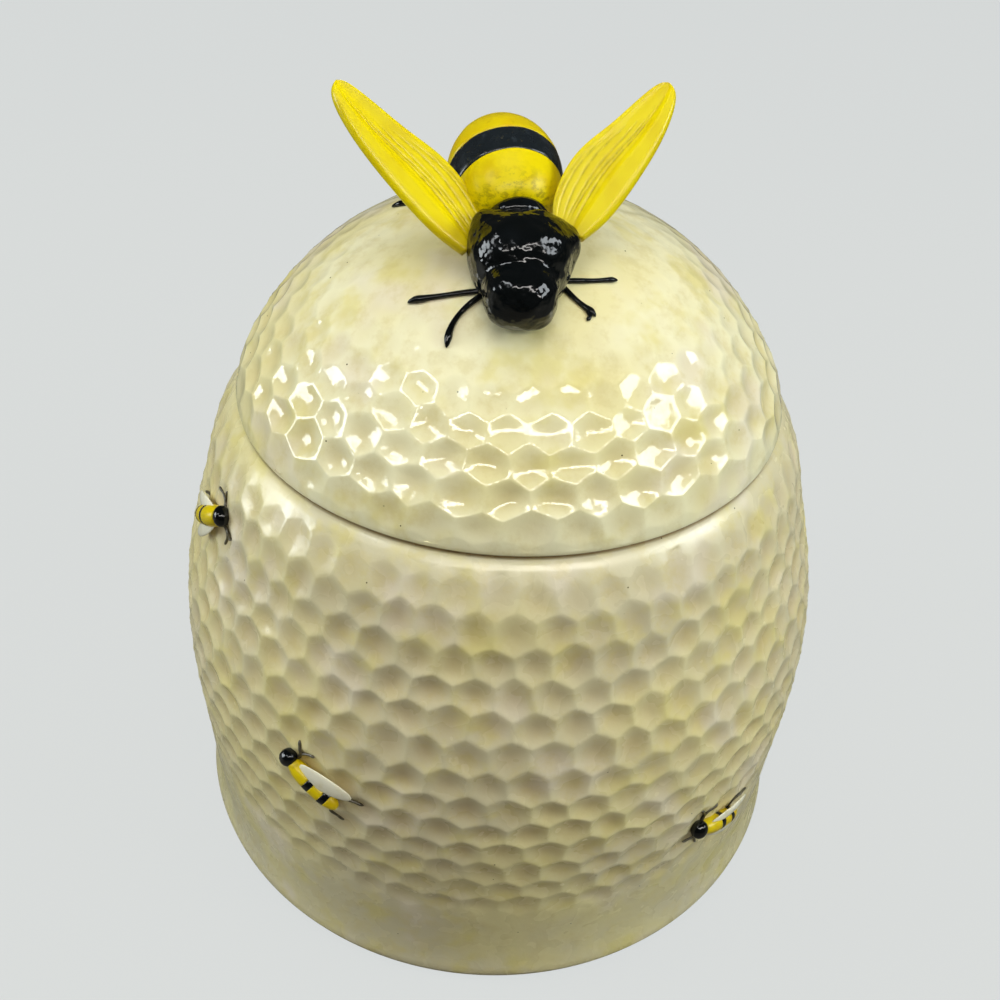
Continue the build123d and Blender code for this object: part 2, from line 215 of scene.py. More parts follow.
def smooth_curve(points, start=None, end=None, count=400):
    """Points along a smooth curve through the given ones, with its end directions where given."""
    p = np.array(points, float)
    n = len(p)
    gap = np.linalg.norm(np.diff(p, axis=0), axis=1)
    left = np.zeros((n, n))
    right = np.zeros_like(p)
    for i in range(1, n - 1):
        left[i, i - 1] = gap[i]
        left[i, i] = 2 * (gap[i - 1] + gap[i])
        left[i, i + 1] = gap[i - 1]
        right[i] = 3 * (gap[i] * (p[i] - p[i - 1]) / gap[i - 1] + gap[i - 1] * (p[i + 1] - p[i]) / gap[i])
    at_start = (0, 1, start, (p[1] - p[0]) / gap[0])
    at_end = (n - 1, n - 2, end, (p[-1] - p[-2]) / gap[-1])
    for row, near, way, step in (at_start, at_end):
        if way is None:
            left[row, row] = 2
            left[row, near] = 1
            right[row] = 3 * step
        else:
            left[row, row] = 1
            right[row] = np.array(way, float) / np.linalg.norm(way)
    slope = np.linalg.solve(left, right)
    at = np.concatenate(([0], np.cumsum(gap)))
    t = np.linspace(0, at[-1], count)
    i = np.clip(np.searchsorted(at, t, side="right") - 1, 0, n - 2)
    h = gap[i][:, None]
    s = ((t - at[i]) / gap[i])[:, None]
    return (
        (2 * s**3 - 3 * s**2 + 1) * p[i]
        + (s**3 - 2 * s**2 + s) * h * slope[i]
        + (3 * s**2 - 2 * s**3) * p[i + 1]
        + (s**3 - s**2) * h * slope[i + 1]
    )


class Wall:
    """A turned wall with honeycomb rows: its profile, and the height of its surface anywhere."""

    def __init__(self, side, start, end, cells, turn, rows, depths, seed):
        self.path = smooth_curve(side, start, end)
        steps = np.linalg.norm(np.diff(self.path, axis=0), axis=1)
        self.length = np.concatenate(([0], np.cumsum(steps)))
        way = np.gradient(self.path, self.length, axis=0)
        way /= np.linalg.norm(way, axis=1)[:, None]
        self.out = np.stack((way[:, 1], -way[:, 0]), axis=1)
        self.cells, self.turn, self.depths = cells, turn, np.array(depths)
        self.rows = len(rows)
        at = np.interp(rows, self.path[:, 1], self.length)
        first, last = at[1] - at[0], at[-1] - at[-2]
        self.row_at = np.arange(-1, self.rows + 1)
        self.length_at = np.concatenate(([at[0] - first], at, [at[-1] + last]))
        rng = np.random.default_rng(seed)
        self.cell_depth = 1 + rng.uniform(*DEPTH_CHANGE, (self.rows, cells))

    def along(self, row):
        """Length along the profile at a row's number, which may lie between rows."""
        return np.interp(row, self.row_at, self.length_at)

    def rings(self, start, end, count):
        """Radius and height at evenly spaced lengths along the profile."""
        s = np.linspace(start, end, count)
        radius = np.interp(s, self.length, self.path[:, 0])
        return list(zip(radius.tolist(), np.interp(s, self.length, self.path[:, 1]).tolist()))

    def place(self, s, turn, lift):
        """Point at a length along the profile, an azimuth, and a height above the plain wall."""
        r = np.interp(s, self.length, self.path[:, 0]) + lift * np.interp(s, self.length, self.out[:, 0])
        z = np.interp(s, self.length, self.path[:, 1]) + lift * np.interp(s, self.length, self.out[:, 1])
        return np.stack((r * np.sin(turn), -r * np.cos(turn), z), axis=-1)

    def bowl(self, t):
        """Share of a cell's depth, from 1 in the middle to 0 on the ridge."""
        return np.clip(1 - t * t, 0, 1) ** BOWL_POWER

    def dent(self, s, turn):
        """How deep the honeycomb is there, in mm."""
        u = (turn - self.turn) * self.cells / (2 * math.pi)
        v = np.interp(s, self.length_at, self.row_at)
        best = np.full(np.shape(u), np.inf)
        deep = np.zeros(np.shape(u))
        for k in (np.floor(v), np.floor(v) + 1):
            shift = (k % 2) / 2
            i = np.round(u - shift)
            x = u - shift - i
            y = (v - k) * math.sqrt(3) / 2
            t = np.maximum.reduce((abs(x), abs(x / 2 + y * SINE_60), abs(-x / 2 + y * SINE_60))) / 0.5
            row = np.clip(k, 0, self.rows - 1).astype(int)
            here = (t < best) & (k >= 0) & (k < self.rows)
            best = np.where(here, t, best)
            size = self.depths[row] * self.cell_depth[row, i.astype(int) % self.cells]
            deep = np.where(here, size * self.bowl(np.clip(t, 0, 1)), deep)
        return deep


def ripple(p, size):
    """Soft uneven height, about one unit up and down, for points in mm."""
    x, y, z = p[..., 0] / size, p[..., 1] / size, p[..., 2] / size
    return (
        np.sin(x * 1.9 + 1.3 * np.sin(y * 1.1 + z)) * np.cos(y * 2.3 + 0.9 * np.sin(z * 1.7 + x))
        + 0.5 * np.sin(z * 3.1 + 2.0 * np.sin(x * 1.3)) * np.cos(x * 2.7 - y * 1.9)
    ) / 1.5


def cell_points():
    """Points of one cell in widths and rows, how far out each lies, and the dip of the ridge there."""
    corner = [(0, 2 / 3), (0.5, 1 / 3), (0.5, -1 / 3), (0, -2 / 3), (-0.5, -1 / 3), (-0.5, 1 / 3)]
    rim, dip = [], []
    for c in range(6):
        a, b = corner[c], corner[(c + 1) % 6]
        for j in range(RIM_STEPS):
            rim.append((a[0] + (b[0] - a[0]) * j / RIM_STEPS, a[1] + (b[1] - a[1]) * j / RIM_STEPS))
            dip.append(math.sin(math.pi * j / RIM_STEPS))
    rim, dip = np.array(rim), np.array(dip)
    rise = math.sqrt(3) / 2
    angle = np.arctan2(rim[:, 1] * rise, rim[:, 0])
    circle = np.stack((CELL_ROUND * np.cos(angle), CELL_ROUND * np.sin(angle) / rise), axis=1)
    pattern, share, saddle = [], [], []
    for t in CELL_RINGS:
        soft = min(1.0, (1 - t) * 2.2)
        pattern.append(t * ((1 - soft) * rim + soft * circle))
        share.append(np.full(CELL_SPOKES, t))
        saddle.append(dip * t**5)
    pattern = np.concatenate(pattern + [np.zeros((1, 2))])
    share = np.concatenate(share + [np.zeros(1)])
    return pattern, share, np.concatenate(saddle + [np.zeros(1)])


def cell_faces():
    """Faces of one cell, ring by ring, with a fan round its middle point."""
    per = CELL_SPOKES
    fan = []
    for ring in range(len(CELL_RINGS) - 1):
        for j in range(per):
            a, b = ring * per + j, ring * per + (j + 1) % per
            fan.append((a, b, b + per, a + per))
    last = (len(CELL_RINGS) - 1) * per
    return fan + [(last + j, last + (j + 1) % per, len(CELL_RINGS) * per) for j in range(per)]


def relief_shell(wall, lower_rings, upper_rings, bump):
    """Closed mesh with honeycomb cells between plain rings; rings are lists of (radius, height)."""
    n, per = wall.cells, CELL_SPOKES
    steps = STEPS_ACROSS * n
    pattern, share, saddle = cell_points()
    fan = cell_faces()

    row = np.repeat(np.arange(wall.rows), n)
    col = np.tile(np.arange(n), wall.rows)
    centre = np.stack((col + (row % 2) / 2, row), axis=1).astype(float)
    uv = centre[:, None, :] + pattern[None]
    depth = wall.depths[row] * wall.cell_depth[row, col]
    drop = depth[:, None] * wall.bowl(share)[None] + RIDGE_DIP * saddle[None] * wall.depths[row][:, None]
    count = len(pattern)
    ids = np.arange(len(row) * count).reshape(len(row), count)
    key_u = np.round(uv[:, :per, 0] * STEPS_ACROSS).astype(int) % steps
    key_v = np.round((uv[:, :per, 1] + 1) * STEPS_UP).astype(int)
    key = key_v * steps + key_u
    seen, first = np.unique(key.ravel(), return_index=True)
    cell, spot = np.divmod(first, per)
    shared = dict(zip(seen.tolist(), ids[cell, spot].tolist()))
    remap = ids.copy()
    remap[:, :per] = np.vectorize(shared.get)(key)

    flat = uv.reshape(-1, 2)
    angle = flat[:, 0] * 2 * math.pi / n
    level = flat[:, 1]
    flat = flat + np.stack(
        (
            STRAY * (np.sin(9 * angle + 1.7 * level) + 0.7 * np.sin(23 * angle - 2.3 * level + 1)),
            STRAY * (np.cos(11 * angle - 1.9 * level) + 0.7 * np.sin(19 * angle + 2.9 * level)),
        ),
        axis=1,
    )
    turn = wall.turn + flat[:, 0] * 2 * math.pi / n
    s = wall.along(flat[:, 1])
    plain = wall.place(s, turn, np.zeros(len(s)))
    points = wall.place(s, turn, -drop.ravel() + bump * ripple(plain, RIPPLE_SIZE) - bump)
    verts = [points]
    relief = [drop.ravel() / max(wall.depths)]
    faces = [tuple(line[list(f)]) for line in remap for f in fan]
    total = len(points)

    ring_turn = wall.turn + np.arange(steps) / STEPS_ACROSS * 2 * math.pi / n

    def border(low):
        """Points along the zigzag edge of the lowest or the highest row."""
        k = 0 if low else wall.rows - 1
        u = np.arange(steps) / STEPS_ACROSS
        off = u - (k % 2) / 2
        off = np.abs(off - np.round(off))
        v = k - (2 / 3 - 2 / 3 * off) if low else k + (2 / 3 - 2 / 3 * off)
        keys = np.round((v + 1) * STEPS_UP).astype(int) * steps + np.arange(steps)
        return [shared[x] for x in keys.tolist()]

    for low, rings in ((True, lower_rings), (False, upper_rings)):
        before = border(low)
        for radius, height in rings:
            if radius < 0.01:
                verts.append(np.array([[0.0, 0.0, height]]))
                relief.append(np.zeros(1))
                faces += [(before[j], before[(j + 1) % steps], total) for j in range(steps)]
                total += 1
                break
            x, y = radius * np.sin(ring_turn), -radius * np.cos(ring_turn)
            verts.append(np.stack((x, y, np.full(steps, height)), axis=1))
            relief.append(np.zeros(steps))
            now = list(range(total, total + steps))
            for j in range(steps):
                beside = (j + 1) % steps
                faces.append((before[j], before[beside], now[beside], now[j]))
            before = now
            total += steps
    return np.concatenate(verts), faces, np.concatenate(relief)


def add_piece(name, verts, faces, material, body, stands_for, attributes=None, sharp=None):
    """Makes a piece from points in mm, rides it on its body and hides the CAD nodes it stands for."""
    mesh = bpy.data.meshes.new(name)
    mesh.from_pydata((np.asarray(verts) * MM).tolist(), [], [tuple(int(i) for i in f) for f in faces])
    for label, values in (attributes or {}).items():
        layer = mesh.attributes.new(label, "FLOAT", "POINT")
        layer.data.foreach_set("value", np.asarray(values, dtype=np.float32))
    work = bmesh.new()
    work.from_mesh(mesh)
    loose = [v for v in work.verts if not v.link_faces]
    bmesh.ops.delete(work, geom=loose, context="VERTS")
    bmesh.ops.recalc_face_normals(work, faces=work.faces)
    work.to_mesh(mesh)
    work.free()
    mesh.shade_smooth()
    if sharp:
        mesh.set_sharp_from_angle(angle=math.radians(sharp))
    mesh.materials.append(material)
    piece = bpy.data.objects.new(name, mesh)
    bpy.context.scene.collection.objects.link(piece)
    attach(piece, body)
    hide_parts(*stands_for)


def linear(red, green, blue):
    """Turns a screen colour, 0 to 255, into the linear one that a shader takes."""
    out = []
    for c in (red, green, blue):
        c /= 255
        out.append(c / 12.92 if c <= 0.04045 else ((c + 0.055) / 1.055) ** 2.4)
    return (*out, 1.0)


class Glaze:
    """A node material for glazed ceramic, built up from layers of colour."""

    def __init__(self, name, colour, roughness, specular=0.5):
        self.material = bpy.data.materials.new(name)
        self.material.use_nodes = True
        self.tree = self.material.node_tree
        self.shader = self.tree.nodes["Principled BSDF"]
        self.shader.inputs["Base Color"].default_value = colour
        self.shader.inputs["Roughness"].default_value = roughness
        self.shader.inputs["Specular IOR Level"].default_value = specular
        self.place = self.tree.nodes.new("ShaderNodeTexCoord").outputs["Object"]
        self.colour = None
        self.first = colour

    def noise(self, scale, detail=2.0, rough=0.5, stretch=(1, 1, 1)):
        """Cloudy value from 0 to 1; scale is about how many clouds lie along a metre."""
        node = self.tree.nodes.new("ShaderNodeTexNoise")
        node.inputs["Scale"].default_value = scale
        node.inputs["Detail"].default_value = detail
        node.inputs["Roughness"].default_value = rough
        source = self.place
        if stretch != (1, 1, 1):
            mapping = self.tree.nodes.new("ShaderNodeMapping")
            mapping.inputs["Scale"].default_value = stretch
            self.tree.links.new(source, mapping.inputs["Vector"])
            source = mapping.outputs["Vector"]
        self.tree.links.new(source, node.inputs["Vector"])
        return node.outputs["Fac"]

    def attribute(self, name):
        """A value that the mesh carries at its points."""
        node = self.tree.nodes.new("ShaderNodeAttribute")
        node.attribute_name = name
        return node.outputs["Fac"]

    def span(self, source, low, high, to_low=0.0, to_high=1.0):
        """Maps a value from low..high to to_low..to_high, and holds it there."""
        node = self.tree.nodes.new("ShaderNodeMapRange")
        node.interpolation_type = "SMOOTHSTEP"
        for key, value in (("From Min", low), ("From Max", high), ("To Min", to_low), ("To Max", to_high)):
            node.inputs[key].default_value = value
        self.tree.links.new(source, node.inputs["Value"])
        return node.outputs["Result"]

    def math(self, operation, a, b):
        """Sum or product of two values, each a number or a socket."""
        node = self.tree.nodes.new("ShaderNodeMath")
        node.operation = operation
        for value, socket in ((a, node.inputs[0]), (b, node.inputs[1])):
            if isinstance(value, (int, float)):
                socket.default_value = value
            else:
                self.tree.links.new(value, socket)
        return node.outputs["Value"]

    def layer(self, factor, colour):
        """Lays a colour over what is there, where factor is 1."""
        node = self.tree.nodes.new("ShaderNodeMix")
        node.data_type = "RGBA"
        self.tree.links.new(factor, node.inputs[0])
        if self.colour is None:
            node.inputs[6].default_value = self.first
        else:
            self.tree.links.new(self.colour, node.inputs[6])
        node.inputs[7].default_value = colour
        self.colour = node.outputs[2]

    def specks(self, scale, size, colour, sparse):
        """Tiny spots strewn over the glaze; the nearer sparse is to 1, the fewer."""
        cells = self.tree.nodes.new("ShaderNodeTexVoronoi")
        cells.inputs["Scale"].default_value = scale
        self.tree.links.new(self.place, cells.inputs["Vector"])
        spot = self.span(cells.outputs["Distance"], size, size * 0.55)
        pick = self.tree.nodes.new("ShaderNodeSeparateColor")
        self.tree.links.new(cells.outputs["Color"], pick.inputs["Color"])
        chosen = self.span(pick.outputs["Red"], sparse, sparse + 0.1)
        self.layer(self.math("MULTIPLY", spot, chosen), colour)

    def bump(self, height, distance, strength):
        """Fine unevenness that shows only in the shading."""
        node = self.tree.nodes.new("ShaderNodeBump")
        node.inputs["Distance"].default_value = distance
        node.inputs["Strength"].default_value = strength
        self.tree.links.new(height, node.inputs["Height"])
        self.tree.links.new(node.outputs["Normal"], self.shader.inputs["Normal"])

    def done(self, roughness=None):
        """Joins the layers, and a roughness that varies where there is one, to the shader."""
        if self.colour is not None:
            self.tree.links.new(self.colour, self.shader.inputs["Base Color"])
        if roughness is not None:
            self.tree.links.new(roughness, self.shader.inputs["Roughness"])
        return self.material


def hive_material(name, colour, pooled_and_shaded_hollow, smooth, dull):
    """Mottled cream glaze, browner in the hollows, partly as glaze pooled there and partly as painted shade,
    with bare clay where there is no glaze.
    """
    glaze = Glaze(name, colour, smooth)
    glaze.layer(glaze.span(glaze.noise(24, 3.0), 0.42, 0.62, 0.0, 0.75), linear(230, 218, 158))
    glaze.layer(glaze.span(glaze.noise(70, 3.0, 0.6), 0.5, 0.7, 0.0, 0.6), linear(221, 207, 124))
    glaze.layer(glaze.span(glaze.noise(45, 2.0), 0.54, 0.7, 0.0, 0.6), linear(230, 218, 200))
    glaze.layer(glaze.span(glaze.noise(150, 4.0, 0.65), 0.46, 0.68, 0.0, 0.4), linear(212, 196, 134))
    # Browner by each cell's depth: partly pooled glaze, partly painted shade in the hollows
    glaze.layer(glaze.math("MULTIPLY", glaze.attribute("relief"), 0.5), pooled_and_shaded_hollow)
    glaze.layer(glaze.attribute("bare"), linear(158, 136, 96))
    glaze.specks(250, 0.07, linear(84, 74, 34), 0.8)
    uneven = glaze.math("ADD", glaze.noise(150, 2.0), glaze.math("MULTIPLY", glaze.noise(700, 2.0), 0.25))
    glaze.bump(uneven, 0.0005, 0.35)
    return glaze.done(glaze.span(glaze.noise(120, 2.0), 0.3, 0.7, smooth, dull))


def yellow_material():
    """Smooth yellow glaze with darker patches, for the rear band and the small bees."""
    glaze = Glaze("yellow_glaze", linear(212, 187, 2), 0.3, 0.3)
    glaze.layer(glaze.span(glaze.noise(150, 3.0), 0.5, 0.75, 0.0, 0.6), linear(206, 162, 2))
    glaze.layer(glaze.span(glaze.noise(420, 2.0), 0.6, 0.75, 0.0, 0.4), linear(170, 140, 14))
    glaze.bump(glaze.noise(300, 1.0), 0.00012, 0.3)
    return glaze.done()


def speckled_material():
    """Yellow glaze with brown marks, thickest towards the front of the band."""
    glaze = Glaze("speckled_yellow_glaze", linear(222, 200, 2), 0.3, 0.14)
    marks = glaze.span(glaze.noise(480, 5.0, 0.7, (1, 1, 1.6)), 0.46, 0.62, 0.0, 1.0)
    near = glaze.span(glaze.attribute("front"), 0.35, 0.95, 0.08, 0.75)
    glaze.layer(glaze.math("MULTIPLY", marks, near), linear(140, 124, 8))
    glaze.layer(glaze.span(glaze.noise(180, 2.0), 0.5, 0.75, 0.0, 0.5), linear(204, 172, 4))
    glaze.bump(glaze.noise(340, 1.5), 0.00015, 0.35)
    return glaze.done()


def wing_material():
    """Yellow glaze that is darker in the grooves and duller at the wing's root, with a painted shade line
    along the fold.
    """
    glaze = Glaze("wing_yellow_glaze", linear(225, 204, 2), 0.28, 0.24)
    glaze.layer(glaze.span(glaze.noise(110, 3.0), 0.42, 0.7, 0.0, 0.6), linear(212, 184, 2))
    streak = glaze.span(glaze.noise(380, 3.0, 0.6), 0.35, 0.65, 0.3, 1.0)
    grooves = glaze.math("MULTIPLY", glaze.attribute("groove"), 0.7)
    glaze.layer(glaze.math("MULTIPLY", grooves, streak), linear(150, 128, 4))
    glaze.layer(glaze.math("MULTIPLY", glaze.attribute("root"), 0.55), linear(190, 168, 30))
    glaze.bump(glaze.noise(240, 1.0), 0.00012, 0.25)
    return glaze.done()


def black_material():
    """Glossy black glaze, for the knob bee's front and legs and the small bees."""
    glaze = Glaze("black_glaze", linear(5, 8, 9), 0.1, 0.36)
    glaze.layer(glaze.span(glaze.noise(130, 3.0), 0.5, 0.8, 0.0, 0.7), linear(12, 16, 19))
    glaze.bump(glaze.noise(260, 2.0), 0.0012, 0.55)
    return glaze.done(glaze.span(glaze.noise(300, 2.0), 0.3, 0.7, 0.07, 0.16))


def band_black_material():
    """Duller black glaze with worn patches, its lighter blue-grey tone partly a painted reflection of the
    room above, for the knob bee's black band and tail.
    """
    # The base is lighter and bluer than the chest's black, partly as painted reflection of the room above
    glaze = Glaze("worn_and_sheen_black_glaze", linear(22, 28, 32), 0.24, 0.5)
    glaze.layer(glaze.span(glaze.noise(240, 4.0, 0.6), 0.5, 0.75, 0.0, 0.7), linear(46, 54, 60))
    glaze.layer(glaze.span(glaze.noise(700, 3.0, 0.6), 0.62, 0.72, 0.0, 0.35), linear(100, 92, 60))
    glaze.bump(glaze.noise(420, 2.0), 0.0003, 0.4)
    return glaze.done(glaze.span(glaze.noise(300, 2.0), 0.3, 0.7, 0.14, 0.3))


def white_material():
    """Off-white glaze of the small bees' wings."""
    glaze = Glaze("white_glaze", linear(238, 232, 208), 0.18)
    glaze.layer(glaze.span(glaze.noise(300, 3.0), 0.5, 0.75, 0.0, 0.6), linear(220, 208, 162))
    glaze.bump(glaze.noise(600, 2.0), 0.0002, 0.4)
    return glaze.done()


def line_material():
    """Thin brown glaze of the small bees' legs and feelers."""
    glaze = Glaze("brown_line_glaze", linear(70, 64, 48), 0.3)
    glaze.layer(glaze.span(glaze.noise(900, 3.0), 0.45, 0.7, 0.0, 0.6), linear(120, 112, 84))
    glaze.bump(glaze.noise(900, 2.0), 0.0001, 0.3)
    return glaze.done()


# The jar takes the lid's glaze in a darker, browner colour, as painted shade of its dimmer wall; the second
# colour of each is the browner glaze in the cells' hollows, partly painted shade
JAR_SHADED_GLAZE = hive_material("hive_glaze_jar_shaded", linear(215, 205, 169), linear(188, 162, 114), 0.20, 0.34)
LID_GLAZE = hive_material("hive_glaze_lid", linear(238, 231, 192), linear(200, 180, 122), 0.05, 0.13)
YELLOW = yellow_material()
SPECKLED = speckled_material()
WING = wing_material()
BLACK = black_material()
BAND_BLACK = band_black_material()
WHITE = white_material()
LINE = line_material()
SLOTS = {
    "yellow": (YELLOW, "yellow_glaze"),
    "speckled": (SPECKLED, "speckled_yellow_glaze"),
    "black": (BAND_BLACK, "black_glaze"),
}


# Camera
camera_data = bpy.data.cameras.new("camera")
camera_data.lens = CAMERA_LENS
camera_data.sensor_width = SENSOR_WIDTH
camera_data.clip_start = 0.01
camera = bpy.data.objects.new("camera", camera_data)
bpy.context.scene.collection.objects.link(camera)
view = Matrix((CAMERA_RIGHT, CAMERA_UP, tuple(-c for c in CAMERA_FORWARD))).transposed().to_4x4()
camera.matrix_world = Matrix.Translation(CAMERA_PLACE) @ view
bpy.context.scene.camera = camera


# Jar body
jar = Wall(JAR_SIDE, (-0.25, 1.0), (-1.0, 1.0), JAR_CELLS, JAR_TURN, JAR_ROWS, JAR_DEPTHS, JAR_SEED)
below = jar.rings(jar.along(-0.95), 2.0, 9) + JAR_FOOT
above = jar.rings(jar.length[-1] - 1.2, jar.length[-1] - 0.4, 2) + JAR_LIP
above += [tuple(p) for p in smooth_curve(JAR_INSIDE, (1.0, -0.5), (-1.0, 0.0), 26)]
above += JAR_FLOOR
verts, faces, relief = relief_shell(jar, below, above, JAR_RIPPLE)
radius = np.hypot(verts[:, 0], verts[:, 1])
seat = (verts[:, 2] > JAR_SEAT_HEIGHT) & (radius > JAR_SEAT[0]) & (radius < JAR_SEAT[1])
marks = {"relief": relief, "bare": seat | (verts[:, 2] < JAR_UNDER_FOOT)}
add_piece("hive_jar", verts, faces, JAR_SHADED_GLAZE, "jar", ["jar_body"], marks, HIVE_SHARP)

# Lid
lid = Wall(LID_SIDE, (0.0, 1.0), (-1.0, 0.0), LID_CELLS, LID_TURN, LID_ROWS, LID_DEPTHS, LID_SEED)


def dome(x, y):
    """Height of the lid's top there, in mm."""
    return np.interp(-np.hypot(x, y), -lid.path[:, 0], lid.path[:, 1])


below = lid.rings(0.8, 0.3, 2) + LID_FLANGE
below += [tuple(p) for p in smooth_curve(LID_INSIDE, (0.0, 1.0), (-1.0, 0.0), 20)]
above = lid.rings(lid.along(lid.rows - 1 + 0.95), lid.length[-1] - 2.0, 24) + LID_TOP
verts, faces, relief = relief_shell(lid, below, above, LID_RIPPLE)
radius = np.hypot(verts[:, 0], verts[:, 1])
on_top = abs(verts[:, 2] - dome(verts[:, 0], verts[:, 1])) < CROWN_SKIN
crown = on_top & (verts[:, 2] > CROWN_HEIGHT) & (radius < CROWN_RADIUS) & (radius > CROWN_MIDDLE)
fade = np.clip((CROWN_RADIUS - radius) / 6, 0, 1) * np.clip((radius - CROWN_MIDDLE) / 8, 0, 1)
uneven = CROWN_UNEVEN + CROWN_UNEVEN * ripple(verts, CROWN_RIPPLE)
verts[:, 2] -= np.where(crown, uneven * fade, 0)
edge = (verts[:, 2] > LID_EDGE_HEIGHTS[0]) & (verts[:, 2] < LID_EDGE_HEIGHTS[1])
marks = {"relief": relief, "bare": edge & (radius > LID_EDGE_RADIUS)}
add_piece("hive_lid", verts, faces, LID_GLAZE, "lid", ["lid_shell"], marks, HIVE_SHARP)


def sink(points, under=1.2):
    """Lifts what would reach deep into the lid to just under its surface."""
    points[:, 2] = np.maximum(points[:, 2], dome(points[:, 0], points[:, 1]) - under)
    return points


def frame_of(axis):
    """Two directions square to an axis."""
    side = axis.cross(Vector((0, 0, 1))).normalized()
    return np.array(side), np.array(side.cross(axis))


def loop_faces(loops, size):
    """Faces over loops of equally many points, and round the two end points that follow them."""
    faces = []
    for k in range(loops - 1):
        for j in range(size):
            a, b = k * size + j, k * size + (j + 1) % size
            faces.append((a, b, b + size, a + size))
    first, last, base = loops * size, loops * size + 1, (loops - 1) * size
    faces += [(j, (j + 1) % size, first) for j in range(size)]
    faces += [(base + j, base + (j + 1) % size, last) for j in range(size)]
    return faces


def loft(loops):
    """Points and faces of a closed skin over loops, with a point in the middle of each end."""
    ends = np.array([loops[0].mean(axis=0), loops[-1].mean(axis=0)])
    return np.concatenate((*loops, ends)), loop_faces(len(loops), len(loops[0]))


# Knob bee: rear body in bands, each a turned piece with softened ends
rear = smooth_curve(REAR_OUTLINE, (0.5, 1.0), (0.0, -1.0), 300)
across, over = frame_of(REAR_AXIS)
around = np.arange(TURNS) * 2 * math.pi / TURNS


def rear_ring(at, wide):
    """Circle round the rear body's axis, at a length along it from the neck."""
    centre = np.array(NECK) + np.array(REAR_AXIS) * at
    return centre + wide * (np.cos(around)[:, None] * across + np.sin(around)[:, None] * over)


for name, (start, end, look) in REAR_BANDS.items():
    from_end = BAND_SOFT * np.array([0, 0.15, 0.5, 1.0])
    ats = np.concatenate((start + from_end, np.linspace(start + 1.2, end - 1.2, 9), end - from_end[::-1]))
    ats = np.sort(ats)
    loops, front = [], []
    for at in ats:
        wide = np.interp(at, rear[:, 0], rear[:, 1])
        edge = min(at - start, end - at) / BAND_SOFT
        if name == "tail":
            edge = (at - start) / BAND_SOFT
        wide = max(wide - BAND_DROP * (1 - min(1.0, edge)) ** 2, THINNEST)
        loops.append(rear_ring(at, wide))
        front.append(np.full(TURNS, 1 - (at - start) / (end - start)))
    verts, faces = loft(loops)
    front = np.concatenate(front + [np.array([1.0, 0.0])])
    shape = ripple(verts, 4.0)
    centre = verts - np.array(NECK)
    along_axis = centre @ np.array(REAR_AXIS)
    spoke = centre - along_axis[:, None] * np.array(REAR_AXIS)
    reach = np.linalg.norm(spoke, axis=1)
    swell = BAND_UNEVEN * shape * np.clip(reach / 5, 0, 1)
    verts += spoke / np.maximum(reach, 1e-6)[:, None] * swell[:, None]
    material, slot = SLOTS[look]
    stands_for = ["knob_bee_" + name]
    marks = {"front": front}
    add_piece("bee_" + name, sink(verts), faces, material, "lid", stands_for, marks, BEE_SHARP)

# Knob bee: neck collar
verts, faces = loft([rear_ring(at, wide) for at, wide in COLLAR])
add_piece("bee_collar", sink(verts), faces, BLACK, "lid", ["knob_bee_collar"])


# Knob bee: chest with its two shoulders, and head, as rounded boxes that blend into one another. Each has
# its middle and half sizes in mm, and how far it narrows towards the front
CHEST_LOBES = [
    ((0.9, -33.02, 211.19), (12.9, 11.6, 12.43), 0.11),
    ((8.19, -28.92, 214.64), (7.09, 5.09, 4.93), 0.0),
    ((-8.7, -27.47, 216.02), (2.98, 5.08, 4.87), 0.0),
]
HEAD_LOBE = ((1.4, -42.7, 207.8), (9.25, 9.4, 8.5), 0.0)
ROUNDNESS = 2.4
CREASE_TIGHT = 1.6
HEAD_EDGE = 0.45
FACING = np.array([0.05, -0.93, -0.36])

# The point and the axis from which their surface is found, how far out it is looked for, by how many
# halvings, and how deep and how wide its soft dents are
FRONT_MIDDLE = (1.2, -36.0, 210.0)
FRONT_AXIS = (0, -0.93, -0.36)
FRONT_REACH = 45.0
FRONT_HALVINGS = 26
DENTS = ((0.30, 4.4), (0.12, 2.1))


def lobe(points, centre, size, taper):
    """About how far points lie outside a rounded box that narrows towards the front."""
    q = points - np.array(centre)
    ahead = np.clip(q @ FACING / size[1], -1.6, 1.6)
    q = np.abs(q) / np.array(size)
    q[:, 0] /= 1 - taper * ahead
    return ((q**ROUNDNESS).sum(axis=1) ** (1 / ROUNDNESS) - 1) * min(size)


def front_form(points):
    """About how far points lie outside the bee's chest and head, which meet in a soft crease."""
    chest = -np.log(sum(np.exp(-np.clip(lobe(points, *one), -40, 40)) for one in CHEST_LOBES))
    head = lobe(points, *HEAD_LOBE)
    near_chest = np.exp(-CREASE_TIGHT * np.clip(chest, -12, 12))
    near_head = np.exp(-CREASE_TIGHT * np.clip(head, -12, 12))
    return -np.log(near_chest + near_head) / CREASE_TIGHT


def blob(centre, axis, rings=150, spokes=190):
    """Surface of the front form, seen from a point inside it, its faces and the way to each point."""
    axis = Vector(axis).normalized()
    e1, e2 = frame_of(axis)
    polar = np.linspace(0, math.pi, rings + 2)[1:-1]
    turn = np.arange(spokes) * 2 * math.pi / spokes
    sideways = np.cos(turn)[None, :, None] * e1 + np.sin(turn)[None, :, None] * e2
    way = np.cos(polar)[:, None, None] * np.array(axis) + np.sin(polar)[:, None, None] * sideways
    way = np.concatenate((way.reshape(-1, 3), [np.array(axis)], [-np.array(axis)]))
    low, high = np.zeros(len(way)), np.full(len(way), FRONT_REACH)
    start = np.array(centre, float)
    for _ in range(FRONT_HALVINGS):
        mid = (low + high) / 2
        inside = front_form(start + way * mid[:, None]) < 0
        low, high = np.where(inside, mid, low), np.where(inside, high, mid)
    return start + way * low[:, None], loop_faces(rings, spokes), way


